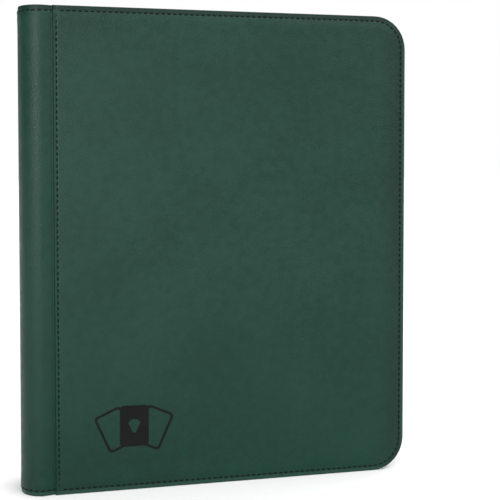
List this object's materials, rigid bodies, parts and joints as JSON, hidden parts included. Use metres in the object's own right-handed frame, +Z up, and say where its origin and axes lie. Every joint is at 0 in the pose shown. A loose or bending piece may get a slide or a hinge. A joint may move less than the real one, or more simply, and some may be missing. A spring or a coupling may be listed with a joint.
{
  "type": "zip-up trading card album",
  "caption": "Padded leatherette zip-up card album with clear-pocket pages, standing closed; covers, pages, zip slider and pull all move.",
  "frame": {"origin": "centre of the bounding box at the bottom edge, where the closed album stands", "axes": "+Z up the cover's height, +X from the spine to the fore-edge, front cover facing -Y"},
  "size_m": [0.29, 0.05, 0.35],
  "materials": {
    "green_leather": "fine-grain matt smooth leatherette, dark green",
    "foam": "soft padding foam",
    "greyboard": "stiff greyboard",
    "black_lining": "black fine-grain lining",
    "black_nylon": "black woven nylon",
    "zip_teeth": "black coil zip",
    "zip_metal": "black enamelled zinc",
    "pull_rubber": "soft black moulded pull",
    "emblem_print": "black foil print",
    "page_core": "black polypropylene sheet",
    "pocket_film": "black core sheet with clear glossy pockets",
    "card_print": "printed card, navy with a metallic border"
  },
  "bodies": {
    "spine": {"spine_leather": "green_leather", "spine_padding": "foam", "spine_board": "greyboard", "spine_lining": "black_lining", "binding_strip": "page_core", "front_hinge_leather": "green_leather", "back_hinge_leather": "green_leather", "leaf_tails_front": "page_core", "leaf_tails_back": "page_core", "zip_end_tab_top": "black_nylon", "zip_end_tab_bottom": "black_nylon"},
    "front_cover": {"front_leather": "green_leather", "front_foam": "foam", "front_board": "greyboard", "front_lining": "black_lining", "front_hem": "green_leather", "front_gusset": "black_nylon", "front_zip_tape": "black_nylon", "front_zip_teeth": "zip_teeth", "front_emblem": "emblem_print"},
    "back_cover": {"back_leather": "green_leather", "back_foam": "foam", "back_board": "greyboard", "back_lining": "black_lining", "back_hem": "green_leather", "back_gusset": "black_nylon", "back_zip_tape": "black_nylon", "back_zip_teeth": "zip_teeth"},
    "zip_slider": {"slider_body": "zip_metal"},
    "zip_pull": {"pull_link": "zip_metal", "pull_tab": "pull_rubber"},
    "page_01": {"leaf_01": "pocket_film", "cards_01": "card_print"},
    "page_02": {"leaf_02": "pocket_film", "cards_02": "card_print"},
    "page_03": {"leaf_03": "pocket_film", "cards_03": "card_print"},
    "page_04": {"leaf_04": "pocket_film", "cards_04": "card_print"},
    "page_05": {"leaf_05": "pocket_film", "cards_05": "card_print"},
    "page_06": {"leaf_06": "pocket_film", "cards_06": "card_print"},
    "page_07": {"leaf_07": "pocket_film", "cards_07": "card_print"},
    "page_08": {"leaf_08": "pocket_film", "cards_08": "card_print"},
    "page_09": {"leaf_09": "pocket_film", "cards_09": "card_print"},
    "page_10": {"leaf_10": "pocket_film", "cards_10": "card_print"},
    "page_11": {"leaf_11": "pocket_film", "cards_11": "card_print"},
    "page_12": {"leaf_12": "pocket_film", "cards_12": "card_print"}
  },
  "joints": [
    {"name": "front_cover_hinge", "type": "hinge", "parent": "spine", "child": "front_cover", "pos_m": [-0.141, -0.021, 0.175], "axis": [0, 0, -1], "range_deg": [0, 90], "deforming": ["front_hinge_leather", "leaf_tails_front"]},
    {"name": "back_cover_hinge", "type": "hinge", "parent": "spine", "child": "back_cover", "pos_m": [-0.141, 0.021, 0.175], "axis": [0, 0, 1], "range_deg": [0, 90], "deforming": ["back_hinge_leather", "leaf_tails_back"]},
    {"name": "zip_slide", "type": "slide", "parent": "back_cover", "child": "zip_slider", "axis": [1, 0, 0], "range_m": [0, 0.2]},
    {"name": "pull_swing", "type": "hinge", "parent": "zip_slider", "child": "zip_pull", "pos_m": [-0.107, 0, 0.3478], "axis": [0, -1, 0], "range_deg": [0, 150]},
    {"name": "page_01_turn", "type": "hinge", "parent": "spine", "child": "page_01", "pos_m": [-0.1385, -0.01845, 0.175], "axis": [0, 0, -1], "range_deg": [0, 90]},
    {"name": "page_02_turn", "type": "hinge", "parent": "spine", "child": "page_02", "pos_m": [-0.13671, -0.01666, 0.175], "axis": [0, 0, -1], "range_deg": [0, 90]},
    {"name": "page_03_turn", "type": "hinge", "parent": "spine", "child": "page_03", "pos_m": [-0.13471, -0.01466, 0.175], "axis": [0, 0, -1], "range_deg": [0, 90]},
    {"name": "page_04_turn", "type": "hinge", "parent": "spine", "child": "page_04", "pos_m": [-0.13249, -0.01244, 0.175], "axis": [0, 0, -1], "range_deg": [0, 90]},
    {"name": "page_05_turn", "type": "hinge", "parent": "spine", "child": "page_05", "pos_m": [-0.13, -0.00995, 0.175], "axis": [0, 0, -1], "range_deg": [0, 90]},
    {"name": "page_06_turn", "type": "hinge", "parent": "spine", "child": "page_06", "pos_m": [-0.1272, -0.00715, 0.175], "axis": [0, 0, -1], "range_deg": [0, 90]},
    {"name": "page_07_turn", "type": "hinge", "parent": "spine", "child": "page_07", "pos_m": [-0.1272, 0.00715, 0.175], "axis": [0, 0, 1], "range_deg": [0, 90]},
    {"name": "page_08_turn", "type": "hinge", "parent": "spine", "child": "page_08", "pos_m": [-0.13, 0.00995, 0.175], "axis": [0, 0, 1], "range_deg": [0, 90]},
    {"name": "page_09_turn", "type": "hinge", "parent": "spine", "child": "page_09", "pos_m": [-0.13249, 0.01244, 0.175], "axis": [0, 0, 1], "range_deg": [0, 90]},
    {"name": "page_10_turn", "type": "hinge", "parent": "spine", "child": "page_10", "pos_m": [-0.13471, 0.01466, 0.175], "axis": [0, 0, 1], "range_deg": [0, 90]},
    {"name": "page_11_turn", "type": "hinge", "parent": "spine", "child": "page_11", "pos_m": [-0.13671, 0.01666, 0.175], "axis": [0, 0, 1], "range_deg": [0, 90]},
    {"name": "page_12_turn", "type": "hinge", "parent": "spine", "child": "page_12", "pos_m": [-0.1385, 0.01845, 0.175], "axis": [0, 0, 1], "range_deg": [0, 90]}
  ],
  "couplings": [
    {"joint": "page_01_turn", "follows": "front_cover_hinge", "ratio": 1},
    {"joint": "page_02_turn", "follows": "front_cover_hinge", "ratio": 1},
    {"joint": "page_03_turn", "follows": "front_cover_hinge", "ratio": 1},
    {"joint": "page_04_turn", "follows": "front_cover_hinge", "ratio": 1},
    {"joint": "page_05_turn", "follows": "front_cover_hinge", "ratio": 1},
    {"joint": "page_06_turn", "follows": "front_cover_hinge", "ratio": 1},
    {"joint": "page_07_turn", "follows": "back_cover_hinge", "ratio": 1},
    {"joint": "page_08_turn", "follows": "back_cover_hinge", "ratio": 1},
    {"joint": "page_09_turn", "follows": "back_cover_hinge", "ratio": 1},
    {"joint": "page_10_turn", "follows": "back_cover_hinge", "ratio": 1},
    {"joint": "page_11_turn", "follows": "back_cover_hinge", "ratio": 1},
    {"joint": "page_12_turn", "follows": "back_cover_hinge", "ratio": 1}
  ]
}
